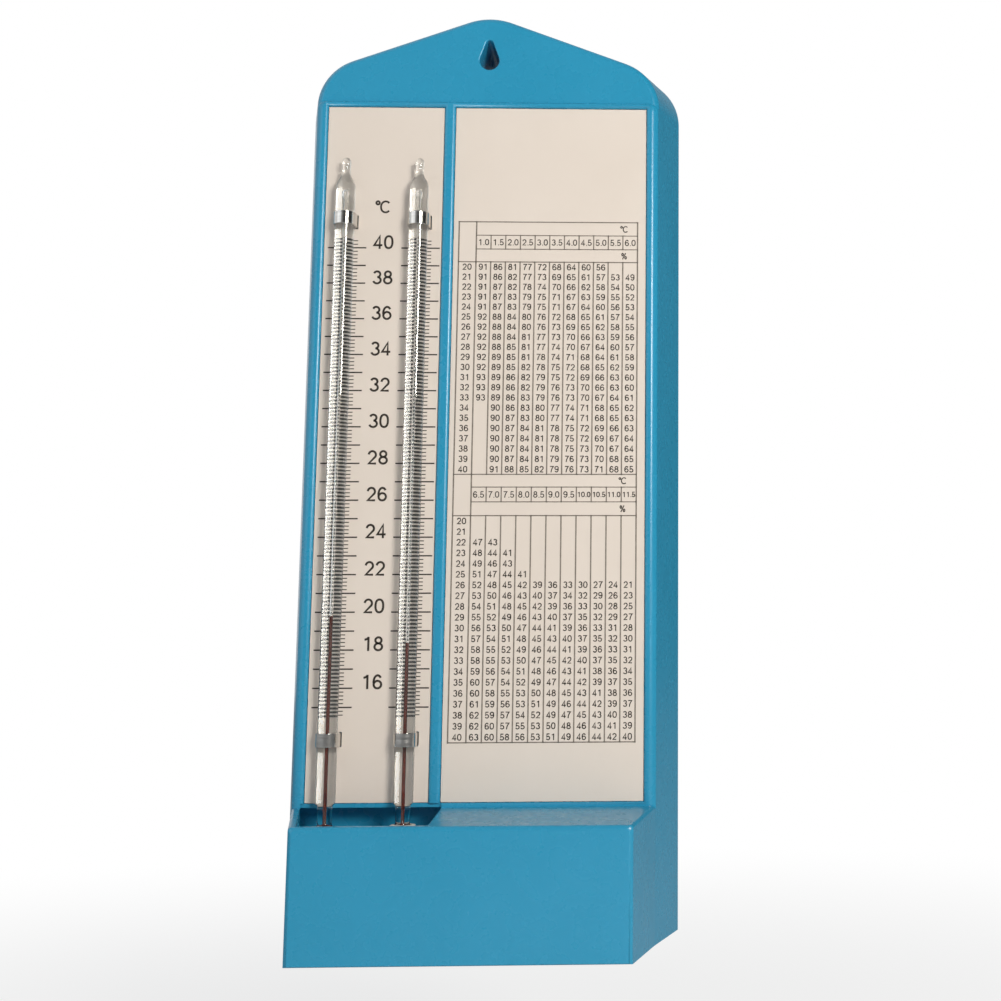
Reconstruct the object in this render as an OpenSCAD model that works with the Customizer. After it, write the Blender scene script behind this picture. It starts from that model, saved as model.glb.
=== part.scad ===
// Wet and dry bulb hygrometer that hangs on a wall. Millimetres.
// The origin is the middle of the width and depth, level with the lower edge of the case.
// +X is to the right seen from the front, +Y points to the wall, +Z is up.

/* [Case] */
// Width of the case at the wall
case_w = 120; // [114:1:136]
// Height of the case at the wall
case_h = 290; // [288:1:320]
// Depth from the wall to the front of the box
case_d = 50; // [46:1:60]
// Wall thickness of the moulding
wall = 2.4; // [1.8:0.1:3]
// Width of the case at the window frame
frame_w = 106; // [105:0.5:112]
// Height of the top edge of the window frame
frame_top = 256.5; // [254:0.5:262]
// Width of the frame's side bars
side_bar = 3.2; // [2.4:0.1:4]
// Width of the frame's top bar
top_bar = 1.8; // [1.4:0.1:4]
// How far the gable's face lies behind the frame's crest
gable_setback = 1; // [0.5:0.1:2]
// How much lower the peak is at the gable's face than at the wall
gable_lean = 5.6; // [2:0.1:8]
// Slope of the gable, in degrees
gable_slope = 20; // [16:1:24]
// Radius of the gable's shoulders
shoulder_r = 16; // [10:1:20]
// Radius of the gable's peak
peak_r = 20; // [10:1:30]
// Rounding of the outer edges of the frame and the gable
edge_r = 1.5; // [0.8:0.1:2]
// Width of the straight lip round the rear edge
back_lip = 0.4; // [0.2:0.1:1]

/* [Hanging hole] */
// Diameter of the wide lower end of the hanging hole
hook_d = 6.1; // [5:0.1:8]
// Diameter of the narrow upper end of the hanging hole
hook_tip_d = 2.3; // [1.6:0.1:4]
// Distance between the two ends' centres
hook_rise = 5.5; // [4:0.1:8]
// Distance from the peak of the gable's face down to the hole's upper centre
hook_drop = 8.4; // [7:0.1:14]
// Wall thickness of the boss that carries the hole back to the wall
boss_wall = 1.6; // [1:0.1:2.4]

/* [Box] */
// How far the box stands out in front of the frame's crest
box_out = 25; // [20:1:28]
// Width of the box at its front
box_front_w = 94.8; // [88:0.2:104]
// Room between the wick's upper edge and the roof of the bulb chamber
roof_room = 4; // [2:0.1:6]
// How much the top of the box falls towards the front
shelf_fall = 2.7; // [0:0.1:5]
// Distance from the frame's crest back to the chamber's rear web
web_setback = 13; // [10:0.5:16]
// How far the opening in the shelf reaches past the divider
mouth_margin = 0.5; // [0.3:0.1:2]
// Thickness of the ribs that hold the feeder
rib_t = 2; // [1.5:0.1:3]
// Distance of each rib from the nearer end of the feeder's straight body
rib_inset = 8; // [5:0.5:12]
// Height of the ribs' lower edge above the case's lower edge
rib_lift = 1; // [0.5:0.1:3]

/* [Plates] */
// Thickness of the scale plate and of the table plate
plate_t = 1; // [0.6:0.1:1.5]
// Depth of the plates' faces behind the frame's crest
plate_recess = 1; // [0.6:0.1:1.5]
// Width of the window that holds the scale plate
scale_window_w = 36.3; // [34:0.1:40]
// Width of the divider between the two windows
divider_w = 3.4; // [2.4:0.1:5]
// Height of the ledge under the plates
ledge_h = 1.2; // [0.8:0.1:2]
// Clearance round each plate in its window
plate_gap = 0.15; // [0.05:0.05:0.3]

/* [Thermometers] */
// Diameter of the glass tube
tube_d = 5.8; // [5:0.1:6.6]
// Distance between the two tubes
tube_pitch = 22.6; // [18:0.1:24]
// Height of the sealed tip
tube_top = 237; // [230:0.5:245]
// Length of the narrow sealed tip
tip_h = 4.5; // [3:0.5:8]
// Diameter of the sealed tip
tip_d = 2.6; // [2:0.1:3.4]
// Length of the shoulder under the tip
tip_shoulder_h = 5; // [3:0.5:8]
// Diameter of the stem inside the box
stem_d = 4.2; // [4:0.1:5]
// How far the thin stem reaches above the box
stem_over = 0.6; // [0.2:0.1:2]
// Diameter of the bulb
bulb_d = 5.2; // [5:0.1:5.6]
// Length of the bulb
bulb_h = 5; // [4:0.1:7]
// Distance from the feeder's mouth up to the bulb
bulb_clearance = 20; // [19:0.5:21]
// Wall of the glass bulb
bulb_wall = 0.5; // [0.4:0.05:0.8]
// Height of the taper between bulb and stem
neck_h = 1; // [0.6:0.1:1.4]
// Diameter of the capillary bore
bore_d = 0.7; // [0.5:0.1:1.2]
// Height of the wider chamber at the top of the bore
expansion_h = 3; // [2:0.5:5]
// Distance of that chamber below the shoulder
expansion_drop = 1; // [0.5:0.1:3]
// Gap between the plate and the back of the tube, and round the tube in its clips
tube_gap = 0.05; // [0.02:0.01:0.1]

/* [Scale] */
// Lowest mark of the scale, in degrees
first_mark = 15; // [13:1:15]
// Height of the lowest mark
first_mark_z = 68.9; // [64:0.1:74]
// Length of one degree on the scale
degree_len = 5.61; // [5:0.01:5.8]
// Reading of the dry thermometer
dry_reading = 19.8; // [15:0.1:40]
// Reading of the wet thermometer
wet_reading = 18.4; // [15:0.1:40]
// Gap between the liquid and the glass
liquid_gap = 0.05; // [0.02:0.01:0.1]

/* [Clips] */
// Width of the clip strip
clip_w = 4; // [3:0.1:5]
// Thickness of the clip strip
clip_t = 0.4; // [0.3:0.05:0.6]
// Height of the middle of the upper clips
upper_clip_z = 217.3; // [200:0.1:222]
// Height of the middle of the lower clips
lower_clip_z = 59.6; // [50:0.1:64]
// Length of the clip's bent ends behind the wall
clip_tab = 2.5; // [1.5:0.1:3]
// Clearance round the clip's legs in their slots
slot_gap = 0.2; // [0.1:0.05:0.4]

/* [Feeder] */
// Diameter of the feeder's body
feeder_d = 11; // [10.6:0.1:13]
// Room between the feeder's sealed end and the side of the box
feeder_end_room = 5.4; // [2:0.1:12]
// Wall of the feeder's glass
feeder_wall = 1; // [0.8:0.1:1.3]
// Height of the feeder's lowest side above the case's lower edge
feeder_lift = 0.8; // [0.4:0.1:2]
// Diameter of the feeder's neck and mouth
mouth_d = 8; // [7.4:0.1:8.2]
// Radius of the bend below the mouth
bend_r = 4.2; // [4.1:0.1:4.5]
// Length of the straight neck behind the bend
neck_len = 1.5; // [1:0.1:3]
// Length of the cone between body and neck
cone_len = 5; // [3:0.5:6]
// Running clearance between the feeder and its ribs
feeder_gap = 0.08; // [0.05:0.01:0.1]
// Depth of the water's surface below the mouth
water_drop = 1.6; // [1:0.1:2.5]
// Height of the air bubble left in the feeder's body
bubble_h = 1.8; // [1:0.1:3]

/* [Wick] */
// Thickness of the cloth sleeve on the wet bulb
wick_t = 0.5; // [0.3:0.05:0.8]
// Gap between the cloth and the glass
wick_gap = 0.1; // [0.05:0.05:0.3]
// How far the sleeve reaches above the bulb
wick_over = 0.4; // [0.2:0.1:1.5]
// Height of the gathering between the bulb and the tail
wick_gather = 0.5; // [0.3:0.1:1]
// Diameter of the wick's hanging tail
tail_d = 3; // [2:0.1:3.4]
// Depth of the tail's end below the feeder's mouth
tail_dip = 3.6; // [2:0.1:3.8]
// Diameter of the thread that ties the wick
thread_d = 0.6; // [0.4:0.1:0.9]

/* [Hidden] */

$fn = 48;
skin = 0.01;
over = 1;
arc_steps = 8;
join_y = 0.5;
join_dip = 0.1;

// Planes from front to back
y_front = -case_d / 2;
y_back = case_d / 2;
y_frame = y_front + box_out;
y_plate = y_frame + plate_recess;
y_floor = y_plate + plate_t;
y_inner = y_floor + wall;
y_gable = y_frame + gable_setback;
y_edge = y_frame + edge_r;
y_web = y_frame + web_setback;

// Half width of the case at any depth
function half_w(y) = y < y_frame
    ? box_front_w / 2 + (frame_w - box_front_w) / 2 * (y - y_front) / box_out
    : frame_w / 2 + (case_w - frame_w) / 2 * (y - y_frame) / (y_back - y_frame);
// Height of the gable's peak at any depth
function peak_z(y) = case_h - gable_lean * (y_back - y) / (y_back - y_gable);
// Height of the top of the box at any depth
function shelf_z(y) = box_h - shelf_fall * (y_frame - y) / box_out;

// Side edges of the windows
window_x = frame_w / 2 - side_bar;
scale_left = -window_x;
scale_right = scale_left + scale_window_w;
table_left = scale_right + divider_w;
table_right = window_x;
mouth_right = table_left + mouth_margin;

// Thermometers
tube_r = tube_d / 2;
tube_y = y_plate - tube_gap - tube_r;
scale_mid = (scale_left + scale_right) / 2;
dry_x = scale_mid - tube_pitch / 2;
wet_x = scale_mid + tube_pitch / 2;
feeder_r = feeder_d / 2;
feeder_z = feeder_r + feeder_lift;
mouth_z = feeder_z + bend_r;
bulb_bottom = mouth_z + bulb_clearance;
bulb_top = bulb_bottom + bulb_h;
bulb_r = bulb_d / 2;
stem_r = stem_d / 2;
expansion_top = tube_top - tip_h - tip_shoulder_h - expansion_drop;

// Wick
wick_in = bulb_r + wick_gap;
wick_out = wick_in + wick_t;
wick_top = bulb_top + wick_over;
tail_r = tail_d / 2;
tail_top = bulb_bottom - wick_gather - wick_t;
thread_r = thread_d / 2;

// Heights of the box and the windows
box_h = wick_top + roof_room;
window_bottom = box_h + ledge_h;
window_top = frame_top - top_bar;
stem_top = box_h + stem_over;

// Clips
leg_x = tube_r + tube_gap + clip_t / 2;
tab_y = y_inner + tube_gap;

// Feeder
feeder_y = tube_y;
mouth_r = mouth_d / 2;
bend_x = wet_x + bend_r;
neck_end = bend_x + neck_len;
body_start = neck_end + cone_len;
body_end = half_w(feeder_y - feeder_r) - wall - feeder_end_room - feeder_r;
feeder_len = body_end - body_start;

// Outline of the case seen from the front: straight sides, round shoulders, two slopes, round peak
function gable_outline(hw, peak, r_sh, r_pk, base) =
    let (
        apex = peak + r_pk * (1 / cos(gable_slope) - 1),
        turn = 90 - gable_slope,
        cx = hw - r_sh,
        cz = apex - hw * tan(gable_slope) - r_sh * tan(turn / 2),
        right = [for (i = [0:arc_steps]) let (a = turn * i / arc_steps)
            [cx + r_sh * cos(a), cz + r_sh * sin(a)]],
        top = [for (i = [0:arc_steps]) let (a = turn + 2 * gable_slope * i / arc_steps)
            [r_pk * cos(a), peak - r_pk + r_pk * sin(a)]],
        left = [for (i = [arc_steps:-1:0]) let (a = turn * i / arc_steps)
            [-cx - r_sh * cos(a), cz + r_sh * sin(a)]]
    )
    concat([[hw, base]], right, top, left, [[-hw, base]]);

// A profile in Y and Z, extruded along X from x0 to x1
module along_x(x0, x1) {
    translate([x0, 0, 0]) rotate([90, 0, 90]) linear_extrude(x1 - x0) children();
}
// A profile in X and Z, extruded along Y from y0 to y1
module along_y(y0, y1) {
    translate([0, y1, 0]) rotate([90, 0, 0]) linear_extrude(y1 - y0) children();
}
module block(x0, x1, y0, y1, z0, z1) {
    translate([x0, y0, z0]) cube([x1 - x0, y1 - y0, z1 - z0]);
}

// The plan of the case between two depths, drawn in by inset on both sides
module plan(y0, y1, inset) {
    ys = concat([y0], y0 < y_frame && y1 > y_frame ? [y_frame] : [], [y1]);
    polygon(concat(
        [for (y = ys) [half_w(y) - inset, y]],
        [for (i = [len(ys) - 1:-1:0]) [inset - half_w(ys[i]), ys[i]]]
    ));
}
// A slice of the gabled body at one depth, drawn in by inset all round
module gable_slice(y, thick, inset, base) {
    along_y(y, y + thick) polygon(gable_outline(
        half_w(y) - inset, peak_z(y) - inset, shoulder_r - inset, peak_r - inset, base));
}
module gabled_body() {
    difference() {
        hull() {
            gable_slice(y_frame, skin, edge_r, 0);
            gable_slice(y_frame + edge_r / 3, skin, edge_r / 4, 0);
            gable_slice(y_edge, skin, 0, 0);
            translate([0, -back_lip, 0]) gable_slice(y_back, back_lip, 0, 0);
        }
        block(-case_w, case_w, y_frame - over, y_gable, frame_top, case_h + over);
    }
}
module rear_hollow() {
    hull() {
        gable_slice(y_inner, skin, wall, wall);
        gable_slice(y_back + over, skin, wall, wall);
    }
}
module box() {
    y_join = y_edge + join_y;
    half = [
        [half_w(y_front), y_front], [half_w(y_frame), y_frame], [half_w(y_join) - join_dip, y_join]
    ];
    intersection() {
        linear_extrude(box_h)
            polygon(concat(half, [for (i = [2:-1:0]) [-half[i][0], half[i][1]]]));
        along_x(-case_w, case_w) polygon([
            [y_front, 0], [y_front, shelf_z(y_front)], [y_frame, box_h], [y_join, box_h], [y_join, 0]
        ]);
    }
}
module chamber_walls() {
    translate([0, 0, wall / 2]) linear_extrude(box_h + wall / 2)
        plan(y_floor, y_web + wall, wall / 2);
}
module chamber_hollow() {
    y0 = y_front + wall;
    intersection() {
        translate([0, 0, -over]) linear_extrude(box_h + over) plan(y0, y_web, wall);
        union() {
            along_x(-case_w, case_w) polygon([
                [y0, -over], [y0, shelf_z(y0) - wall], [y_frame, box_h - wall],
                [y_web, box_h - wall], [y_web, -over]
            ]);
            block(-case_w, mouth_right, y0, y_web, -over, box_h);
        }
    }
}
module chamber_mouth() {
    y0 = y_front + wall;
    translate([0, 0, box_h / 2]) linear_extrude(window_bottom - box_h / 2) intersection() {
        plan(y0, y_plate, wall);
        translate([-case_w, y0 - over]) square([case_w + mouth_right, case_d]);
    }
}
module windows() {
    block(scale_left, scale_right, y_frame - over, y_floor, window_bottom, window_top);
    block(table_left, table_right, y_frame - over, y_floor, window_bottom, window_top);
}
// Outline of the hanging hole: a wide round end below, a narrow one above, straight sides between
function drop_outline(r, tip_r, rise) =
    let (a = asin((r - tip_r) / rise), n = 2 * arc_steps)
    concat(
        [for (i = [0:n]) let (b = a - (180 + 2 * a) * i / n) [r * cos(b), r * sin(b)]],
        [for (i = [0:n]) let (b = 180 - a - (180 - 2 * a) * i / n)
            [tip_r * cos(b), rise + tip_r * sin(b)]]
    );
// The hanging hole's shape between two depths, made wider by wider on all sides
module hook_drop_shape(y0, y1, wider) {
    along_y(y0, y1) translate([0, peak_z(y_gable) - hook_drop - hook_rise])
        polygon(drop_outline(hook_d / 2 + wider, hook_tip_d / 2 + wider, hook_rise));
}
module clip_slots() {
    half_x = clip_t / 2 + slot_gap;
    half_z = clip_w / 2 + slot_gap;
    for (x = [dry_x, wet_x], z = [upper_clip_z, lower_clip_z], side = [-1, 1])
        block(x + side * leg_x - half_x, x + side * leg_x + half_x,
            y_frame - over, y_inner + over, z - half_z, z + half_z);
}
// Two ribs under the shelf, each with an opening downwards that grips the feeder
module feeder_ribs() {
    y0 = y_front + wall / 2;
    y1 = y_web + wall / 2;
    grip_r = feeder_r + feeder_gap;
    for (x = [body_start + rib_inset, body_end - rib_inset])
        along_x(x - rib_t / 2, x + rib_t / 2) difference() {
            polygon([
                [y0, rib_lift], [y0, shelf_z(y0) - wall / 2], [y_frame, box_h - wall / 2],
                [y1, box_h - wall / 2], [y1, rib_lift]
            ]);
            translate([feeder_y, feeder_z]) circle(grip_r);
            translate([feeder_y - grip_r, -over]) square([2 * grip_r, feeder_z + over]);
        }
}

module case() {
    color([0.16, 0.55, 0.72]) {
        difference() {
            union() {
                difference() {
                    gabled_body();
                    rear_hollow();
                }
                box();
                chamber_walls();
                hook_drop_shape(y_floor, y_back, boss_wall);
            }
            chamber_hollow();
            chamber_mouth();
            windows();
            hook_drop_shape(y_frame - over, y_back + over, 0);
            clip_slots();
        }
        feeder_ribs();
    }
}

module plate(x0, x1) {
    block(x0 + plate_gap, x1 - plate_gap, y_plate, y_floor,
        window_bottom + plate_gap, window_top - plate_gap);
}
module scale_plate() {
    color([0.88, 0.84, 0.77]) difference() {
        plate(scale_left, scale_right);
        clip_slots();
    }
}
module table_plate() {
    color([0.88, 0.84, 0.77]) plate(table_left, table_right);
}

// Solid of revolution on a thermometer's axis, from points of radius and height
module on_tube(x) {
    translate([x, tube_y, 0]) rotate_extrude() children();
}
module thermometer_glass(x) {
    tip_r = tip_d / 2;
    shoulder_top = tube_top - tip_h;
    shoulder_low = shoulder_top - tip_shoulder_h;
    color([0.85, 0.92, 0.93, 0.5]) on_tube(x) difference() {
        polygon(concat(
            [[0, bulb_bottom]],
            [for (i = [1:arc_steps]) let (a = 90 * i / arc_steps)
                [bulb_r * sin(a), bulb_bottom + bulb_r * (1 - cos(a))]],
            [[bulb_r, bulb_top - neck_h / 2], [stem_r, bulb_top],
                [stem_r, stem_top], [tube_r, stem_top + neck_h],
                [tube_r, shoulder_low]],
            [for (i = [1:arc_steps]) let (a = 180 * i / arc_steps)
                [tip_r + (tube_r - tip_r) * (1 + cos(a)) / 2,
                    shoulder_low + tip_shoulder_h * i / arc_steps]],
            [for (i = [0:arc_steps]) let (a = 90 * i / arc_steps)
                [tip_r * cos(a), tube_top - tip_r + tip_r * sin(a)]]
        ));
        liquid_space(0, expansion_top - expansion_h / 2);
        translate([0, expansion_top - expansion_h]) square([bore_d, expansion_h]);
    }
}
// Half section of the space inside bulb and bore, drawn in by inset, up to the height top
module liquid_space(inset, top) {
    r = bulb_r - bulb_wall - inset;
    polygon(concat(
        [[0, bulb_bottom + bulb_wall + inset]],
        [for (i = [1:arc_steps]) let (a = 90 * i / arc_steps)
            [r * sin(a), bulb_bottom + bulb_wall + inset + r * (1 - cos(a))]],
        [[r, bulb_top - neck_h - inset], [bore_d / 2 - inset, bulb_top - inset],
            [bore_d / 2 - inset, top], [0, top]]
    ));
}
module liquid(x, reading) {
    color([0.35, 0.06, 0.05]) on_tube(x)
        liquid_space(liquid_gap, first_mark_z + (reading - first_mark) * degree_len);
}

// A strip bent over the tube, its legs through the slots, its ends turned outwards behind the wall
module tube_clip(x, z) {
    r_in = tube_r + tube_gap;
    r_out = r_in + clip_t;
    color([0.62, 0.62, 0.6]) translate([x, 0, z - clip_w / 2]) {
        difference() {
            union() {
                translate([0, tube_y, 0]) intersection() {
                    cylinder(r = r_out, h = clip_w);
                    block(-r_out, r_out, -r_out, 0, 0, clip_w);
                }
                block(-r_out, r_out, tube_y, tab_y + clip_t, 0, clip_w);
                for (side = [-1, 1])
                    block(min(side * r_in, side * (r_out + clip_tab)),
                        max(side * r_in, side * (r_out + clip_tab)),
                        tab_y, tab_y + clip_t, 0, clip_w);
            }
            translate([0, tube_y, -over]) cylinder(r = r_in, h = clip_w + 2 * over);
            block(-r_in, r_in, tube_y, tab_y + clip_t + over, -over, clip_w + over);
        }
    }
}

module wick() {
    color([0.93, 0.91, 0.86]) {
        on_tube(wet_x) polygon([
            [wick_in, wick_top], [wick_out, wick_top], [wick_out, bulb_bottom + bulb_r / 2],
            [tail_r, tail_top], [tail_r, mouth_z - tail_dip], [0, mouth_z - tail_dip],
            [0, bulb_bottom - wick_gap], [wick_in / 2, bulb_bottom - wick_gap],
            [wick_in, bulb_bottom + bulb_r / 2]
        ]);
    }
}
// A closed turn of thread round the wick
module thread_ring(ring_r, z) {
    color([0.9, 0.88, 0.82]) on_tube(wet_x)
        translate([ring_r + thread_r + tube_gap, z]) circle(thread_r);
}

// The feeder's outer shape, or its inside when inset is the glass wall
module feeder_shape(inset) {
    translate([0, feeder_y, feeder_z]) {
        translate([body_start, 0, 0]) rotate([0, 90, 0])
            cylinder(r = feeder_r - inset, h = feeder_len);
        translate([body_end, 0, 0]) sphere(r = feeder_r - inset);
        translate([neck_end, 0, 0]) rotate([0, 90, 0])
            cylinder(r1 = mouth_r - inset, r2 = feeder_r - inset, h = cone_len);
        translate([bend_x, 0, 0]) rotate([0, 90, 0])
            cylinder(r = mouth_r - inset, h = neck_end - bend_x);
    }
    translate([bend_x, feeder_y, mouth_z]) rotate([90, 0, 0]) rotate([0, 0, 180])
        rotate_extrude(angle = 90) translate([bend_r, 0]) circle(mouth_r - inset);
}
module feeder_glass() {
    color([0.8, 0.92, 0.94, 0.5]) difference() {
        feeder_shape(0);
        feeder_shape(feeder_wall);
        translate([wet_x, feeder_y, mouth_z - skin]) cylinder(r = mouth_r - feeder_wall, h = over);
    }
}
module feeder_water() {
    surface_z = mouth_z - water_drop;
    bubble_z = feeder_z + feeder_r - feeder_wall - bubble_h;
    color([0.7, 0.85, 0.9, 0.5]) difference() {
        feeder_shape(feeder_wall + liquid_gap);
        block(neck_end, case_w, -case_d, case_d, bubble_z, case_h);
        block(-case_w, neck_end, -case_d, case_d, surface_z, case_h);
        translate([wet_x, feeder_y, mouth_z - tail_dip - wick_t])
            cylinder(r = tail_r + wick_t, h = case_h);
    }
}

case();
scale_plate();
table_plate();
thermometer_glass(dry_x);  // dry_thermometer_glass
thermometer_glass(wet_x);  // wet_thermometer_glass
liquid(dry_x, dry_reading);  // dry_liquid
liquid(wet_x, wet_reading);  // wet_liquid
tube_clip(dry_x, upper_clip_z);  // dry_upper_clip
tube_clip(dry_x, lower_clip_z);  // dry_lower_clip
tube_clip(wet_x, upper_clip_z);  // wet_upper_clip
tube_clip(wet_x, lower_clip_z);  // wet_lower_clip
wick();
thread_ring(wick_out, bulb_top - neck_h);  // wick_upper_tie
thread_ring(tail_r, tail_top - thread_d);  // wick_lower_tie
feeder_glass();
feeder_water();
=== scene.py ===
"""Looks of a wet and dry bulb hygrometer that hangs on a wall.

Shapes are worked out in millimetres and brought to metres when a piece is settled.
+X is to the right seen from the front, +Y points to the wall, +Z is up.
"""
import math

import bmesh
import bpy
from mathutils import Matrix, Vector


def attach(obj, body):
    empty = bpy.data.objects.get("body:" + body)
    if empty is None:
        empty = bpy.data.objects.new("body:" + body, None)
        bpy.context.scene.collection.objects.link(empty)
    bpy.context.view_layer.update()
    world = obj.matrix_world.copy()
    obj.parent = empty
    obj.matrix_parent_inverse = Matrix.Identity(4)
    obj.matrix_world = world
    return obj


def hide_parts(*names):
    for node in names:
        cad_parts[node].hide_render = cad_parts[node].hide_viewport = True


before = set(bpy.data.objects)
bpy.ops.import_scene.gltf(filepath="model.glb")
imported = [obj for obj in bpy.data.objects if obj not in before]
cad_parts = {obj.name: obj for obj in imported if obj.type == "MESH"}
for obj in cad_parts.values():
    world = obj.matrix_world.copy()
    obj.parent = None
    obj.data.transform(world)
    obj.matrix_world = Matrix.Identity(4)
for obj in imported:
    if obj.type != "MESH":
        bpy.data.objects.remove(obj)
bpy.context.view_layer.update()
scene = bpy.context.scene
MM = 0.001

# Planes from front to back, as in the part, then the rear of the hollow under the shelf
Y_FRONT, Y_CREST, Y_PLATE, Y_FLOOR, Y_INNER, Y_WALL = -25.0, 0.0, 1.0, 2.0, 4.4, 25.0
Y_CHAMBER = 13.0

# Case: half widths at the front, the crest and the wall, then heights and walls
FRONT_HALF, CREST_HALF, WALL_HALF = 47.4, 53.0, 60.0
PEAK, GABLE_DRAFT, GABLE_SLOPE = 290, 5.6, 20
SHOULDER_R, PEAK_R = 16, 20
BOX_TOP, SHELF_FALL = 39.9, 2.7
FRAME_TOP, FRAME_CORNER = 256.5, 2.2
WALL = 2.4
BOSS_WALL = 1.6
REAR_EDGE = 0.4
WINDOW_LOW, WINDOW_TOP = 41.1, 254.7
SCALE_WINDOW = (-49.8, -13.5)
TABLE_WINDOW = (-10.1, 49.8)
MOUTH_RIGHT = -9.6
HOLE_LOW_R, HOLE_TOP_R, HOLE_RISE, HOLE_Z = 3.05, 1.15, 5.5, 270.5
RIB_PLACES = (-1.65, 30.03)
RIB_FOOT, RIB_HALF, RIB_PLAY = 1, 1, 0.08
SLOT_HALF_X, SLOT_HALF_Z = 0.4, 2.2

# Thermometers, and the clips that hold them
TUBE_Y = -1.95
DRY_X, WET_X = -42.95, -20.35
DEGREE = 5.61
MARK_15 = 68.9
BULB_LOW, BULB_TOP = 30.5, 35.5
BULB_R, BULB_WALL = 2.6, 0.5
STEM_R, STEM_TOP = 2.1, 40.5
TUBE_R, TUBE_TOP = 2.9, 227.4
TIP_TOP, TIP_ROUND = 237.0, 1.3
BORE, BORE_TOP = 0.35, 223.5
NECK_LOW, NECK_H = BULB_TOP - 1.1, 1.2
EXPANSION_R, EXPANSION_H = 0.7, 3
LIQUID_GAP = 0.015
CLIP_HEIGHTS = {"upper": 217.3, "lower": 59.6}
LEG_X = 3.15

# Feeder, from its sealed end to its turned-up mouth
FEEDER_R, FEEDER_Z, FEEDER_END = 5.5, 6.3, 43.53
FEEDER_WALL = 1
MOUTH_R, TAPER_X, TAPER_LENGTH = 4.0, -9.65, 5
BEND_X, BEND_R = -16.15, 4.2
MOUTH_Z = 10.5

# Wick and threads
WICK_TOP, WICK_LOW = 35.3, 6.9
UPPER_TIE_Z, LOWER_TIE_Z = 34.5, 28.9
THREAD_R, TURNS, WOUND_H = 0.25, 3.4, 1.5

# The ink reaches 0.01 mm into the plate and stands 0.03 mm out of it
INK_LOW, INK_HIGH = Y_PLATE + 0.01, Y_PLATE - 0.03
INK_MID, INK_THICK = (INK_LOW + INK_HIGH) / 2, INK_LOW - INK_HIGH


def half_width(y):
    if y < Y_CREST:
        return FRONT_HALF + (CREST_HALF - FRONT_HALF) * (y - Y_FRONT) / (Y_CREST - Y_FRONT)
    return CREST_HALF + (WALL_HALF - CREST_HALF) * y / Y_WALL


def peak_height(y):
    return PEAK - GABLE_DRAFT * (Y_WALL - y) / (Y_WALL - Y_PLATE)


def shelf_height(y):
    return BOX_TOP + SHELF_FALL * min(y, 0) / (Y_CREST - Y_FRONT)


def mark_height(degrees):
    return MARK_15 + DEGREE * (degrees - 15)


# Camera

def place_camera():
    lens = bpy.data.cameras.new("camera")
    lens.sensor_fit = "HORIZONTAL"
    lens.sensor_width = 36
    lens.lens = 51.51
    lens.shift_x = -0.2287
    lens.shift_y = -0.0479
    camera = bpy.data.objects.new("camera", lens)
    ahead = Vector((0.0342, 0.9900, 0.1367)).normalized()
    right = ahead.cross(Vector((-0.001, -0.1367, 0.9906))).normalized()
    up = right.cross(ahead)
    turn = Matrix((right, up, -ahead)).transposed().to_4x4()
    camera.matrix_world = Matrix.Translation(Vector((60.53, -433.35, 85.28)) * MM) @ turn
    scene.collection.objects.link(camera)
    scene.camera = camera


# Making meshes

def solid(name, points, faces):
    mesh = bpy.data.meshes.new(name)
    mesh.from_pydata(points, [], faces)
    obj = bpy.data.objects.new(name, mesh)
    scene.collection.objects.link(obj)
    return obj


def face_outward(obj):
    bm = bmesh.new()
    bm.from_mesh(obj.data)
    bmesh.ops.remove_doubles(bm, verts=bm.verts, dist=1e-5)
    bmesh.ops.recalc_face_normals(bm, faces=bm.faces)
    bm.to_mesh(obj.data)
    bm.free()
    return obj


def triangles(obj):
    bm = bmesh.new()
    bm.from_mesh(obj.data)
    bmesh.ops.triangulate(bm, faces=bm.faces)
    bm.to_mesh(obj.data)
    bm.free()
    return obj


def loft(name, rings):
    """A closed solid through rings that have equally many points."""
    count = len(rings[0])
    faces = []
    for i in range(len(rings) - 1):
        for j in range(count):
            k = (j + 1) % count
            low, high = i * count, (i + 1) * count
            faces.append((low + j, low + k, high + k, high + j))
    last = (len(rings) - 1) * count
    faces.append(tuple(reversed(range(count))))
    faces.append(tuple(last + j for j in range(count)))
    return face_outward(solid(name, [p for ring in rings for p in ring], faces))


def prism(outline, axis, low, high):
    """A flat outline pushed along one axis."""
    def at(p, level):
        point = list(p)
        point.insert(axis, level)
        return point
    return loft("tool", [[at(p, low) for p in outline], [at(p, high) for p in outline]])


def block(x0, x1, y0, y1, z0, z1):
    return prism([(x0, y0), (x1, y0), (x1, y1), (x0, y1)], 2, z0, z1)


def plain(obj):
    """Turn an object with modifiers into a plain mesh."""
    depsgraph = bpy.context.evaluated_depsgraph_get()
    done = bpy.data.meshes.new_from_object(obj.evaluated_get(depsgraph))
    old = obj.data
    obj.modifiers.clear()
    obj.data = done
    bpy.data.meshes.remove(old)
    return obj


def combine(body, tool, how):
    step = body.modifiers.new("step", "BOOLEAN")
    step.operation = how
    step.solver = "EXACT"
    step.object = tool
    plain(body)
    bpy.data.objects.remove(tool)


def weld(obj):
    bm = bmesh.new()
    bm.from_mesh(obj.data)
    bmesh.ops.remove_doubles(bm, verts=bm.verts, dist=0.002)
    bmesh.ops.dissolve_degenerate(bm, edges=bm.edges, dist=0.002)
    bm.to_mesh(obj.data)
    bm.free()


def even_shading(obj):
    obj.data.shade_smooth()
    obj.data.set_sharp_from_angle(angle=math.radians(40))
    shading = obj.modifiers.new("shading", "WEIGHTED_NORMAL")
    shading.weight = 80
    shading.keep_sharp = True
    plain(obj)


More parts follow.
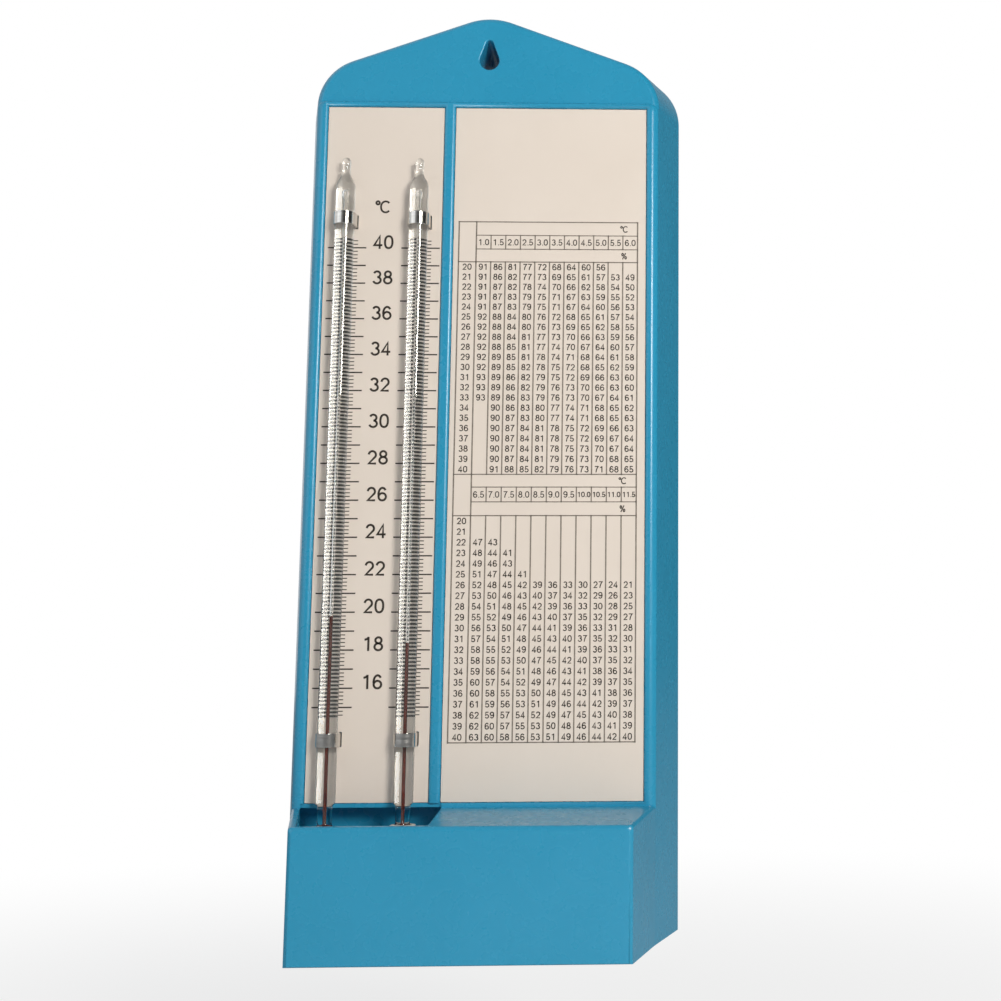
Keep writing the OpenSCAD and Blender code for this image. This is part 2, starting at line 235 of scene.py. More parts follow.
def settle(obj, body, slot, material, *nodes):
    """Bring a finished shape to metres, give it its finish, and let it ride on its body."""
    obj.data.transform(Matrix.Scale(MM, 4))
    if material is not None:
        obj.data.materials.clear()
        obj.data.materials.append(material)
    obj.data.update()
    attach(obj, body)
    if nodes:
        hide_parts(*nodes)


def join(name, shapes):
    """Several meshes as one."""
    bm = bmesh.new()
    for shape in shapes:
        bm.from_mesh(shape.data)
        bpy.data.objects.remove(shape)
    mesh = bpy.data.meshes.new(name)
    bm.to_mesh(mesh)
    bm.free()
    obj = bpy.data.objects.new(name, mesh)
    scene.collection.objects.link(obj)
    return obj


# Tubes and turned shapes

def ring(centre, across, up, ra, rb, count=40):
    return [centre + across * (ra * math.cos(2 * math.pi * i / count))
            + up * (rb * math.sin(2 * math.pi * i / count)) for i in range(count)]


def skin(rings, first_pole, last_pole, inward=False):
    """Points and faces of a closed round shape from rings and its two poles."""
    count = len(rings[0])
    points = [first_pole] + [p for r in rings for p in r] + [last_pole]
    end = len(points) - 1
    faces = []
    for j in range(count):
        faces.append((0, 1 + (j + 1) % count, 1 + j))
        last = 1 + (len(rings) - 1) * count
        faces.append((end, last + j, last + (j + 1) % count))
    for i in range(len(rings) - 1):
        for j in range(count):
            k = (j + 1) % count
            a, b = 1 + i * count, 1 + (i + 1) * count
            faces.append((a + j, a + k, b + k, b + j))
    if inward:
        faces = [tuple(reversed(f)) for f in faces]
    return points, faces


def turned(x, profile, inward=False, count=40):
    """A shape round a thermometer's axis from pairs of height and radius, lowest first."""
    rings = [ring(Vector((x, TUBE_Y, z)), Vector((1, 0, 0)), Vector((0, 1, 0)), r, r, count)
             for z, r in profile[1:-1]]
    low = Vector((x, TUBE_Y, profile[0][0]))
    high = Vector((x, TUBE_Y, profile[-1][0]))
    return skin(rings, low, high, inward)


def shells(name, parts):
    """One mesh from several lists of points and faces."""
    points, faces = [], []
    for part_points, part_faces in parts:
        base = len(points)
        points += [tuple(p) for p in part_points]
        faces += [tuple(base + i for i in f) for f in part_faces]
    obj = solid(name, points, faces)
    obj.data.shade_smooth()
    return obj


# The moulded case

def gable_outline(hw, peak, r_shoulder, r_peak, base, steps=14):
    slope = math.radians(GABLE_SLOPE)
    turn = math.pi / 2 - slope
    apex = peak + r_peak * (1 / math.cos(slope) - 1)
    cx = hw - r_shoulder
    cz = apex - hw * math.tan(slope) - r_shoulder * math.tan(turn / 2)
    right = []
    for i in range(steps + 1):
        a = turn * i / steps
        right.append((cx + r_shoulder * math.cos(a), cz + r_shoulder * math.sin(a)))
    top = []
    for i in range(1, steps):
        a = turn + 2 * slope * i / steps
        top.append((r_peak * math.cos(a), peak - r_peak + r_peak * math.sin(a)))
    left = [(-x, z) for x, z in reversed(right)]
    ends = [(r_peak * math.cos(turn), peak - r_peak + r_peak * math.sin(turn))]
    return [(hw, base)] + right + ends + top + [(-ends[0][0], ends[0][1])] + left + [(-hw, base)]


def gable_ring(y, inset, base):
    outline = gable_outline(half_width(y) - inset, peak_height(y) - inset,
                            SHOULDER_R - inset, PEAK_R - inset, base)
    return [(x, y, z) for x, z in outline]


def quarter(radius, steps):
    """Pairs of depth and inset along a quarter round, from the face to the side."""
    turns = [math.pi / 2 * i / steps for i in range(steps + 1)]
    return [(radius * (1 - math.cos(a)), radius * (1 - math.sin(a))) for a in turns]


def round_topped(y, hw, top, foot, corner, steps):
    """An upright ring whose two upper corners are round."""
    points = [(hw, y, foot)]
    for i in range(steps + 1):
        a = math.pi / 2 * i / steps
        points.append((hw - corner + corner * math.cos(a), y, top - corner + corner * math.sin(a)))
    return points + [(-x, level, z) for x, level, z in reversed(points)]


def frame_ring(y, side_inset, top_inset):
    return round_topped(y, half_width(y) - side_inset, FRAME_TOP - top_inset, 0, FRAME_CORNER, 6)


def plan(y0, y1, inset):
    ys = [y0] + ([0.0] if y0 < 0 < y1 else []) + [y1]
    right = [(half_width(y) - inset, y) for y in ys]
    return right + [(-x, y) for x, y in reversed(right)]


def box_ring(y, side_inset, top_inset, foot):
    return round_topped(y, half_width(y) - side_inset, shelf_height(y) - top_inset, foot, 0.9, 4)


def box_solid():
    """The box in front of the frame, round at its front and along the sides of its top."""
    rings = [box_ring(Y_FRONT + d, inset, inset, 0.45 * inset) for d, inset in quarter(1.1, 5)]
    rings += [box_ring(0.0, 0, 0, 0), box_ring(1.6, 0, 0, 0), box_ring(2.4, 0.05, 0, 0)]
    return loft("tool", rings)


def chamber_solid():
    """The hollow under the shelf, open downwards."""
    points = []
    for y in (Y_FRONT + WALL, Y_CREST, Y_CHAMBER):
        x, top = half_width(y) - WALL, shelf_height(y) - WALL
        points += [(x, y, -1), (x, y, top), (-x, y, -1), (-x, y, top)]
    faces = [(0, 2, 3, 1), (8, 9, 11, 10), (0, 4, 8, 10, 6, 2)]
    for i in range(2):
        a, b = 4 * i, 4 * (i + 1)
        faces += [(a, a + 1, b + 1, b), (a + 2, b + 2, b + 3, a + 3), (a + 1, a + 3, b + 3, b + 1)]
    return face_outward(solid("tool", points, faces))


def mouth_outline(wider, y1):
    """Plan of the opening in the shelf that the tubes go down through."""
    y0 = Y_FRONT + WALL
    left = [(-(half_width(y) - WALL) - wider, y - (wider if y == y0 else 0)) for y in (y0, 0.0)]
    if y1 > 0:
        left.append((-(half_width(y1) - WALL) - wider, y1))
    return left + [(MOUTH_RIGHT + wider, y1), (MOUTH_RIGHT + wider, y0 - wider)]


def mouth_cutter():
    """Cuts the opening with a round edge on top that follows the shelf's slope."""
    rings = [[(x, y, 20) for x, y in mouth_outline(0, 0)]]
    for d, wider in reversed(quarter(0.5, 4)):
        rings.append([(x, y, shelf_height(y) - d) for x, y in mouth_outline(wider, 0)])
    rings.append([(x, y, WINDOW_LOW) for x, y in mouth_outline(0.5, 0)])
    return triangles(loft("tool", rings))


def window_cutter(x0, x1):
    """Cuts a window whose front edge is rounded 0.93 mm deep and 1.4 times as wide."""
    rings = []
    edge = [(d, 1.4 * w) for d, w in quarter(0.93, 6)]
    for y, wider in [(-1, 1.3)] + edge + [(Y_FLOOR, 0)]:
        low, high = WINDOW_LOW - wider, WINDOW_TOP + wider
        corners = [(x0 - wider, low), (x1 + wider, low), (x1 + wider, high), (x0 - wider, high)]
        rings.append([(x, y, z) for x, z in corners])
    return loft("tool", rings)


def drop_ring(y, wider, steps=12):
    """The hanging hole's outline: a wide round end below and a narrow one above."""
    low, high = HOLE_LOW_R + wider, HOLE_TOP_R + wider
    lean = math.asin((low - high) / HOLE_RISE)
    points = []
    for i in range(2 * steps + 1):
        a = lean - (math.pi + 2 * lean) * i / (2 * steps)
        points.append((low * math.cos(a), y, HOLE_Z + low * math.sin(a)))
    for i in range(steps + 1):
        a = math.pi - lean - (math.pi - 2 * lean) * i / steps
        points.append((high * math.cos(a), y, HOLE_Z + HOLE_RISE + high * math.sin(a)))
    return points


def hole_cutter():
    edge = 0.45
    places = [(-1, edge)] + [(Y_PLATE + d, wider) for d, wider in quarter(edge, 4)]
    places += [(Y_WALL - REAR_EDGE, 0), (Y_WALL, REAR_EDGE), (Y_WALL + 1, REAR_EDGE)]
    return loft("tool", [drop_ring(y, wider) for y, wider in places])


def feeder_rib(x):
    """A rib whose lower edge is open to take the feeder."""
    sunk = WALL / 2
    y0, y1, top = Y_FRONT + sunk, Y_CHAMBER + sunk, BOX_TOP - sunk
    grip = FEEDER_R + RIB_PLAY
    outline = [(y0, RIB_FOOT), (y0, shelf_height(y0) - sunk), (0, top), (y1, top), (y1, RIB_FOOT)]
    outline.append((TUBE_Y + grip, RIB_FOOT))
    for i in range(17):
        a = math.pi * i / 16
        outline.append((TUBE_Y + grip * math.cos(a), FEEDER_Z + grip * math.sin(a)))
    outline.append((TUBE_Y - grip, RIB_FOOT))
    return prism(outline, 0, x - RIB_HALF, x + RIB_HALF)


def make_case(material):
    front = [(Y_PLATE + d, inset) for d, inset in quarter(1.5, 6)]
    rear = [(Y_WALL - d, inset) for d, inset in reversed(quarter(0.5, 4))]
    body = loft("case_moulding", [gable_ring(y, inset, 0) for y, inset in front + rear])
    crest = quarter(1.6, 6)
    tops = quarter(0.7, 6)
    rings = [frame_ring(d, inset, tops[i][1]) for i, (d, inset) in enumerate(crest)]
    rings += [frame_ring(2.5, 0, 0), frame_ring(3.3, 0.6, 0.4)]
    combine(body, loft("tool", rings), "UNION")
    combine(body, box_solid(), "UNION")
    hollow = [(Y_INNER, WALL)] + [(Y_WALL - d, WALL - inset) for d, inset in reversed(quarter(0.5, 4))]
    rings = [gable_ring(y, inset, inset) for y, inset in hollow + [(Y_WALL + 1, WALL - 0.5)]]
    combine(body, loft("tool", rings), "DIFFERENCE")
    sunk = WALL / 2
    combine(body, prism(plan(Y_FLOOR, Y_CHAMBER + WALL, sunk), 2, sunk, WINDOW_LOW), "UNION")
    boss = [(3.2, BOSS_WALL), (Y_WALL - REAR_EDGE, BOSS_WALL), (Y_WALL, BOSS_WALL - REAR_EDGE)]
    combine(body, loft("tool", [drop_ring(y, wider) for y, wider in boss]), "UNION")
    combine(body, chamber_solid(), "DIFFERENCE")
    combine(body, prism(mouth_outline(0, Y_CHAMBER), 2, 20, BOX_TOP), "DIFFERENCE")
    combine(body, prism(mouth_outline(0, Y_PLATE), 2, 30, WINDOW_LOW + 0.01), "DIFFERENCE")
    combine(body, mouth_cutter(), "DIFFERENCE")
    for x0, x1 in (SCALE_WINDOW, TABLE_WINDOW):
        combine(body, window_cutter(x0, x1), "DIFFERENCE")
    combine(body, hole_cutter(), "DIFFERENCE")
    for x in (DRY_X, WET_X):
        for z in CLIP_HEIGHTS.values():
            for side in (-1, 1):
                mid = x + side * LEG_X
                slot = block(mid - SLOT_HALF_X, mid + SLOT_HALF_X, Y_PLATE, Y_INNER + 1,
                             z - SLOT_HALF_Z, z + SLOT_HALF_Z)
                combine(body, slot, "DIFFERENCE")
    for x in RIB_PLACES:
        combine(body, feeder_rib(x), "UNION")
    weld(body)
    even_shading(body)
    settle(body, "case", "case_plastic", material, "case")


# Glass, liquid and water

def glass_profile():
    """Outside of a thermometer from its bulb to its sealed tip."""
    points = [(BULB_LOW, 0)]
    for i in range(1, 11):
        a = math.pi / 2 * i / 10
        points.append((BULB_LOW + BULB_R * (1 - math.cos(a)), BULB_R * math.sin(a)))
    points += [(BULB_TOP - 1.0, BULB_R), (BULB_TOP - 0.6, 2.5), (BULB_TOP - 0.1, 2.18),
               (BULB_TOP + 0.3, STEM_R), (STEM_TOP - 0.4, STEM_R), (STEM_TOP, STEM_R + 0.02)]
    for i in range(1, 7):
        a = math.pi * i / 6
        r = STEM_R + 0.02 + (TUBE_R - STEM_R - 0.02) * (1 - math.cos(a)) / 2
        points.append((STEM_TOP + 1.1 * i / 6, r))
    points.append((TUBE_TOP, TUBE_R))
    narrow = 1.22
    for i in range(1, 13):
        a = math.pi * i / 12
        points.append((TUBE_TOP + 0.1 + 5 * i / 12, narrow + (TUBE_R - narrow) * (1 + math.cos(a)) / 2))
    points += [(233.4, 1.2), (234.4, 1.26)]
    for i in range(9):
        a = math.pi / 2 * i / 9
        points.append((TIP_TOP - TIP_ROUND + TIP_ROUND * math.sin(a), TIP_ROUND * math.cos(a)))
    points.append((TIP_TOP, 0))
    return points


def bore_profile(grow, top, meniscus):
    """The space in the bulb and the fine bore, made wider by grow, up to the height top."""
    thin = BORE + grow
    r = BULB_R - BULB_WALL + grow
    low = BULB_LOW + BULB_WALL - grow
    points = [(low, 0)]
    for i in range(1, 9):
        a = math.pi / 2 * i / 8
        points.append((low + r * (1 - math.cos(a)), r * math.sin(a)))
    points.append((NECK_LOW, r))
    for i in range(1, 9):
        t = (1 - math.cos(math.pi * i / 8)) / 2
        points.append((NECK_LOW + NECK_H * i / 8, r + (thin - r) * t))
    if meniscus:
        return points + [(top, thin), (top - 0.08, thin * 0.6), (top - 0.1, 0)]
    points.append((top, thin))
    for i in range(1, 10):
        a = math.pi * i / 10
        points.append((top + EXPANSION_H * i / 10, thin + (EXPANSION_R - thin) * math.sin(a) ** 0.5))
    points.append((top + EXPANSION_H, 0))
    return points


def make_thermometer(side, x, reading, glass, liquid):
    outside = turned(x, glass_profile(), count=56)
    bore = turned(x, bore_profile(0, BORE_TOP, False), inward=True)
    tube = shells(f"{side}_thermometer_tube", [outside, bore])
    settle(tube, "case", "tube_glass", glass, f"{side}_thermometer_glass")
    column = turned(x, bore_profile(LIQUID_GAP, mark_height(reading), True))
    settle(shells(f"{side}_liquid_column", [column]), "case", "thermometer_liquid", liquid,
           f"{side}_liquid")


def feeder_path():
    """Centre line of the feeder from its sealed end to its mouth, with its outer radius."""
    y, z, r0 = TUBE_Y, FEEDER_Z, FEEDER_R
    turn = FEEDER_END - r0
    path = []
    for i in range(1, 13):
        a = math.pi / 2 * i / 12
        path.append(((turn + r0 * math.cos(a), y, z), (-1, 0, 0), r0 * math.sin(a)))
    for i in range(1, 9):
        path.append(((turn + (TAPER_X - turn) * i / 8, y, z), (-1, 0, 0), r0))
    for i in range(1, 11):
        t = i / 10
        r = r0 - (r0 - MOUTH_R) * (1 - math.cos(math.pi * t)) / 2
        path.append(((TAPER_X - TAPER_LENGTH * t, y, z), (-1, 0, 0), r))
    path.append(((BEND_X, y, z), (-1, 0, 0), MOUTH_R))
    for i in range(1, 15):
        a = math.pi / 2 * i / 14
        centre = (BEND_X - BEND_R * math.sin(a), y, MOUTH_Z - BEND_R * math.cos(a))
        path.append((centre, (-math.cos(a), 0, math.sin(a)), MOUTH_R))
    return path


def make_feeder(glass):
    path = feeder_path()
    side, count = Vector((0, 1, 0)), 48

    def hoop(centre, along, r):
        return ring(Vector(centre), side.cross(Vector(along)), side, r, r, count)

    outer = [hoop(*spot) for spot in path[:-1]]
    inner = [hoop(centre, along, r - FEEDER_WALL) for centre, along, r in path[12:-1]]
    mouth, upward = Vector(path[-1][0]), Vector((0, 0, 1))
    lip_r = FEEDER_WALL / 2
    lip = []
    for i in range(9):
        a = math.pi * i / 8
        lip.append(hoop(mouth + upward * (lip_r * math.sin(a) - lip_r), upward,
                        MOUTH_R - lip_r + lip_r * math.cos(a)))
    back = []
    bore = FEEDER_R - FEEDER_WALL
    for i in range(10):
        a = math.pi / 2 * i / 10
        spot = (FEEDER_END - FEEDER_R + bore * math.sin(a), TUBE_Y, FEEDER_Z)
        back.append(hoop(spot, (-1, 0, 0), bore * math.cos(a)))
    rings = outer + lip + list(reversed(inner)) + back
    first = Vector((FEEDER_END, TUBE_Y, FEEDER_Z))
    last = Vector((FEEDER_END - FEEDER_WALL, TUBE_Y, FEEDER_Z))
    tube = face_outward(shells("feeder_tube", [skin(rings, first, last)]))
    tube.data.shade_smooth()
    settle(tube, "feeder", "feeder_glass", glass, "feeder_glass")


# Metal clips

def strap_path():
    """Bent line of a clip seen from above, about its tube's axis."""
    back = 4.65 - TUBE_Y
    points = [(-5.85, back), (-4.6, back), (-3.75, back)]
    bend = 0.4
    for i in range(1, 5):
        a = math.pi / 2 * i / 4
        points.append((-LEG_X - bend + bend * math.sin(a), back - bend + bend * math.cos(a)))
    points += [(-LEG_X, back - 2.5), (-LEG_X, 2.0)]
    for i in range(25):
        a = math.pi + math.pi * i / 24
        points.append((LEG_X * math.cos(a), LEG_X * math.sin(a)))
    return points + [(-x, y) for x, y in reversed(points[:9])]


def section(width, thick, corner, steps=3):
    """Rounded outline of a strip's cut end."""
    points = []
    for cx, cz, start in ((1, 1, 0), (-1, 1, 90), (-1, -1, 180), (1, -1, 270)):
        for i in range(steps + 1):
            a = math.radians(start + 90 * i / steps)
            points.append((cx * (thick / 2 - corner) + corner * math.cos(a),
                           cz * (width / 2 - corner) + corner * math.sin(a)))
    return points


def make_clip(side, level, x, metal):
    path = strap_path()
    outline = section(4.0, 0.4, 0.14)
    z = CLIP_HEIGHTS[level]
    rings = []
    for i, (px, py) in enumerate(path):
        ahead = Vector(path[min(i + 1, len(path) - 1)]) - Vector(path[max(i - 1, 0)])
        ahead.normalize()
        across = Vector((ahead.y, -ahead.x))
        rings.append([(x + px + across.x * t, TUBE_Y + py + across.y * t, z + w)
                      for t, w in outline])
    strap = loft(f"{side}_{level}_strap", rings)
    even_shading(strap)
    settle(strap, "case", "clip_metal", metal, f"{side}_{level}_clip")


# Wick and its threads

def make_wick(cloth):
    """A rectangle of cloth wrapped round the bulb and gathered to a tail."""
    around, along = 96, 90
    full, slim, wall = 2.98, 1.18, 0.22
    points, faces = [], []
    for j in range(along + 1):
        z = WICK_TOP + (WICK_LOW - WICK_TOP) * j / along
        gather = min(max((31.7 - z) / 2.8, 0), 1)
        gather = gather * gather * (3 - 2 * gather)
        pinch = math.exp(-((z - LOWER_TIE_Z) / 0.9) ** 2)
        grip = math.exp(-((z - UPPER_TIE_Z) / 0.8) ** 2)
        base = full - 0.08 * grip + (slim - full) * gather - 0.12 * pinch
        fold = 0.5 * gather - 0.28 * pinch
        for i in range(around + 1):
            t = i / around
            a = 2 * math.pi * 1.04 * t
            wave = math.sin(7 * a + 0.8 * math.sin(z * 0.21)) + 0.25 * math.sin(3 * a + z * 0.3)
            r = base + 0.16 * t * (1 - gather) + fold * wave + 0.03 * math.sin(11 * a + z)
            points.append((WET_X + r * math.cos(a), TUBE_Y + r * math.sin(a), z))
    row = around + 1
    for j in range(along):
        for i in range(around):
            a = j * row + i
            faces.append((a, a + 1, a + 1 + row, a + row))
    wick = solid("wick_sleeve", points, faces)
    layer = wick.data.uv_layers.new(name="weave")
    for loop in wick.data.loops:
        i, j = loop.vertex_index % row, loop.vertex_index // row
        layer.data[loop.index].uv = (i / around, j / along)
    cloth_wall = wick.modifiers.new("cloth", "SOLIDIFY")
    cloth_wall.thickness = wall
    cloth_wall.offset = 0
    plain(wick)
    wick.data.shade_smooth()
    settle(wick, "case", "wick_cloth", cloth, "wick")


def fixed(node, **values):
    """Set fixed values on a node's own inputs."""
    for label, value in values.items():
        node.inputs[label.replace("_", " ")].default_value = value
    return node


def nodes_tree(name, inputs):
    """A Geometry Nodes tree with these inputs and one mesh output, and the inputs' identifiers."""
    tree = bpy.data.node_groups.new(name, "GeometryNodeTree")
    tree.interface.new_socket("Geometry", in_out="OUTPUT", socket_type="NodeSocketGeometry")
    keys = {}
    for label, kind in inputs:
        socket = tree.interface.new_socket(label, in_out="INPUT", socket_type="NodeSocket" + kind)
        keys[label] = socket.identifier
    return tree, keys


def end_tree(tree, made, material):
    """Realize what a tree made, give it its material and pass it out."""
    real = tree.nodes.new("GeometryNodeRealizeInstances")
    paint = tree.nodes.new("GeometryNodeSetMaterial")
    out = tree.nodes.new("NodeGroupOutput")
    tree.links.new(made, real.inputs["Geometry"])
    tree.links.new(real.outputs["Geometry"], paint.inputs["Geometry"])
    tree.links.new(material, paint.inputs["Material"])
    tree.links.new(paint.outputs["Geometry"], out.inputs["Geometry"])


def grow(tree, keys, name, values):
    """Run a Geometry Nodes tree on an empty mesh with these inputs and keep the plain result."""
    obj = solid(name, [], [])
    step = obj.modifiers.new("grow", "NODES")
    step.node_group = tree
    for label, value in values.items():
        step[keys[label]] = value
    return plain(obj)


def winding_tree():
    """A thread wound round the wick."""
    tree, keys = nodes_tree("winding", [
        ("Turns", "Float"), ("Radius", "Float"), ("Height", "Float"), ("Thread", "Float"),
        ("Finish", "Material")])
    add, link = tree.nodes.new, tree.links.new
    given = add("NodeGroupInput")
    spiral = fixed(add("GeometryNodeCurveSpiral"), Resolution=40)
    circle = fixed(add("GeometryNodeCurvePrimitiveCircle"), Resolution=10)
    sweep = fixed(add("GeometryNodeCurveToMesh"), Fill_Caps=True)
    smooth = add("GeometryNodeSetShadeSmooth")
    link(given.outputs["Turns"], spiral.inputs["Rotations"])
    link(given.outputs["Radius"], spiral.inputs["Start Radius"])
    link(given.outputs["Radius"], spiral.inputs["End Radius"])
    link(given.outputs["Height"], spiral.inputs["Height"])
    link(given.outputs["Thread"], circle.inputs["Radius"])
    link(spiral.outputs["Curve"], sweep.inputs["Curve"])
    link(circle.outputs["Curve"], sweep.inputs["Profile Curve"])
    link(sweep.outputs["Mesh"], smooth.inputs["Geometry"])
    end_tree(tree, smooth.outputs["Geometry"], given.outputs["Finish"])
    return tree, keys


def thread_end(start, lean, length):
    """A short loose end of thread below the knot."""
    rings = []
    r = 0.22
    spot = Vector(start)
    way = Vector(lean).normalized()
    steps = 10
    for i in range(steps + 1):
        side = way.cross(Vector((0.3, 0.2, 0.9))).normalized()
        rings.append(ring(spot, side, side.cross(way), r, r, 8))
        spot = spot + way * (length / steps)
        way = (way + Vector((0, 0, -0.22))).normalized()
    return loft("end", rings)


def make_knot(centre):
    rings = []
    for i in range(1, 8):
        a = math.pi * i / 8
        rings.append(ring(centre + Vector((0, 0, -0.62 * math.cos(a))), Vector((1, 0, 0)),
                          Vector((0, 1, 0)), 0.55 * math.sin(a), 0.5 * math.sin(a), 14))
    return loft("knot", rings)


def make_ties(thread):
    tree, keys = winding_tree()
    for label, radius, middle in (("upper", 3.52, UPPER_TIE_Z), ("lower", 1.62, LOWER_TIE_Z)):
        values = {"Turns": TURNS, "Radius": radius, "Height": WOUND_H, "Thread": THREAD_R,
                  "Finish": thread}
        wound = grow(tree, keys, "wound", values)
        wound.data.transform(Matrix.Translation((WET_X, TUBE_Y, middle - WOUND_H / 2)))
        a, out = math.radians(-62), radius + 0.2
        knot_at = Vector((WET_X + out * math.cos(a), TUBE_Y + out * math.sin(a), middle))
        knot = make_knot(knot_at)
        ends = [thread_end(knot_at, (0.35, -0.5, -0.2), 3.4),
                thread_end(knot_at, (-0.5, -0.4, -0.35), 2.8)]
        tie = join(f"wick_{label}_thread", [wound, knot] + ends)
        tie.data.shade_smooth()
        settle(tie, "case", "tie_thread", thread, f"wick_{label}_tie")


# Print on the plates

def bars_tree():
    """Equal bars in an even row, for the marks and the table's lines."""
    tree, keys = nodes_tree("bars", [
        ("Count", "Int"), ("Start", "Vector"), ("Step", "Vector"), ("Bar", "Vector"),
        ("Ink", "Material")])
    add, link = tree.nodes.new, tree.links.new
    given = add("NodeGroupInput")
    line, cube = add("GeometryNodeMeshLine"), add("GeometryNodeMeshCube")
    place = add("GeometryNodeInstanceOnPoints")
    line.mode = "OFFSET"
    link(given.outputs["Count"], line.inputs["Count"])
    link(given.outputs["Start"], line.inputs["Start Location"])
    link(given.outputs["Step"], line.inputs["Offset"])
    link(given.outputs["Bar"], cube.inputs["Size"])
    link(line.outputs["Mesh"], place.inputs["Points"])
    link(cube.outputs["Mesh"], place.inputs["Instance"])
    end_tree(tree, place.outputs["Instances"], given.outputs["Ink"])
    return tree, keys


def bent(cx, cz, rx, rz, start, stop, steps, power=1.0):
    """Points along part of a rounded loop, angles in degrees."""
    points = []
    for i in range(steps + 1):
        a = math.radians(start + (stop - start) * i / steps)
        c, s = math.cos(a), math.sin(a)
        points.append((cx + rx * math.copysign(abs(c) ** power, c),
                       cz + rz * math.copysign(abs(s) ** power, s)))
    return points


def strokes_of(sign, fine):
    """Pen strokes of one sign, one unit high."""
    q = 8 if fine else 3
    if sign == "0":
        return [bent(0.33, 0.5, 0.265, 0.44, 90, 450, 4 * q, 0.85)]
    if sign == "1":
        return [[(0.40, 0), (0.40, 0.98)], bent(0.10, 0.98, 0.30, 0.20, 275, 345, q)]
    if sign == "2":
        return [bent(0.325, 0.68, 0.25, 0.26, 175, -35, 2 * q) + [(0.09, 0.06), (0.60, 0.06)]]
    if sign == "3":
        upper = bent(0.32, 0.725, 0.225, 0.215, 160, -85, 2 * q)
        return [upper, bent(0.32, 0.29, 0.265, 0.235, 85, -165, 2 * q)]
    if sign == "4":
        return [[(0.45, 0), (0.45, 0.94), (0.06, 0.27), (0.64, 0.27)]]
    if sign == "5":
        return [[(0.55, 0.94), (0.17, 0.94), (0.11, 0.47)]
                + bent(0.315, 0.315, 0.27, 0.26, 128, -160, 2 * q + 1)]
    if sign in "69":
        hook = bent(0.34, 0.5, 0.27, 0.44, 38, 195, 2 * q)
        loop = bent(0.335, 0.31, 0.255, 0.255, 180, 540, 4 * q)
        if sign == "6":
            return [hook, loop]
        return [[(0.66 - x, 1 - z) for x, z in line] for line in (hook, loop)]
    if sign == "7":
        return [[(0.06, 0.94), (0.60, 0.94), (0.42, 0.68), (0.30, 0.38), (0.235, 0)]]
    if sign == "8":
        upper = bent(0.33, 0.735, 0.21, 0.205, 90, 450, 4 * q)
        return [upper, bent(0.33, 0.29, 0.26, 0.235, 90, 450, 4 * q)]
    if sign == "C":
        return [bent(0.42, 0.5, 0.36, 0.44, 42, 318, 3 * q, 0.95)]
    if sign == "o":
        return [bent(0.18, 0.82, 0.13, 0.13, 90, 450, 2 * q + 2)]
    if sign == ".":
        return [[(0.14, 0.0), (0.14, 0.12)]]
    if sign == "%":
        rings = [bent(cx, cz, 0.12, 0.19, 90, 450, 3 * q) for cx, cz in ((0.16, 0.74), (0.62, 0.26))]
        return rings + [[(0.16, 0.02), (0.62, 0.98)]]
    raise ValueError(sign)


# Room from one sign to the next, and the gap left in it, in heights
DIGIT_ROOM, SIGN_GAP = 0.76, 0.10
ROOM = {".": 0.30, "C": 0.86, "o": 0.36, "%": 0.84}


def pen(points, faces, line, x, z, height, width):
    """One stroke as a thin closed ribbon of ink on the plate."""
    spots = [Vector((x + px * height, z + pz * height)) for px, pz in line]
    closed = (spots[0] - spots[-1]).length < 1e-6
    if closed:
        spots = spots[:-1]
    count = len(spots)
    base = len(points)
    for i, spot in enumerate(spots):
        before = spots[i - 1] if i or closed else spot
        after = spots[(i + 1) % count] if i < count - 1 or closed else spot
        way_in = (spot - before).normalized() if (spot - before).length else (after - spot).normalized()
        way_out = (after - spot).normalized() if (after - spot).length else way_in
        ahead = way_in + way_out
        ahead = ahead.normalized() if ahead.length > 0.2 else way_in
        reach = width / 2 / max(ahead.dot(way_in), 0.55)
        side = Vector((-ahead.y, ahead.x)) * reach
        for offset, depth in ((side, INK_HIGH), (-side, INK_HIGH), (-side, INK_LOW), (side, INK_LOW)):
            points.append((spot.x + offset.x, depth, spot.y + offset.y))
    for i in range(count if closed else count - 1):
        a, b = base + 4 * i, base + 4 * ((i + 1) % count)
        for j in range(4):
            k = (j + 1) % 4
            faces.append((a + j, b + j, b + k, a + k))
    if not closed:
        end = base + 4 * (count - 1)
        faces.append((base, base + 1, base + 2, base + 3))
        faces.append((end + 3, end + 2, end + 1, end))


def line_width(text, height):
    wide = sum(ROOM.get(sign, DIGIT_ROOM) for sign in text)
    return (wide - SIGN_GAP) * height


def write(points, faces, text, x, z, height, width, fine):
    """Numbers from their left end x and foot z."""
    for sign in text:
        for line in strokes_of(sign, fine):
            pen(points, faces, line, x, z, height, width)
        x += ROOM.get(sign, DIGIT_ROOM) * height


def write_centred(points, faces, text, x, z, height, width):
    left = x - line_width(text, height) / 2
    write(points, faces, text, left, z - height / 2, height, width, False)


def bars(tree, keys, ink, count, start, step, size):
    values = {"Count": count, "Start": start, "Step": step, "Bar": size, "Ink": ink}
    return grow(tree, keys, "bars", values)


# Marks: count, first degree, step, shift to the right, length, weight. The last row is the
# fine marks where the tube covers them, printed heavier: partly print, partly painted shade,
# the darker band of the tube's shade on the plate behind it.
SCALE_MARKS = ((26, 15, DEGREE, 0.3, 11.8, 0.42),
               (130, 14.6, DEGREE / 5, 1.0, 5.2, 0.3),
               # Heavier ink behind each tube: painted shade of the tube on top of the printed fine
               # marks
               (130, 14.6, DEGREE / 5, 0.05, 3.3, 0.66))


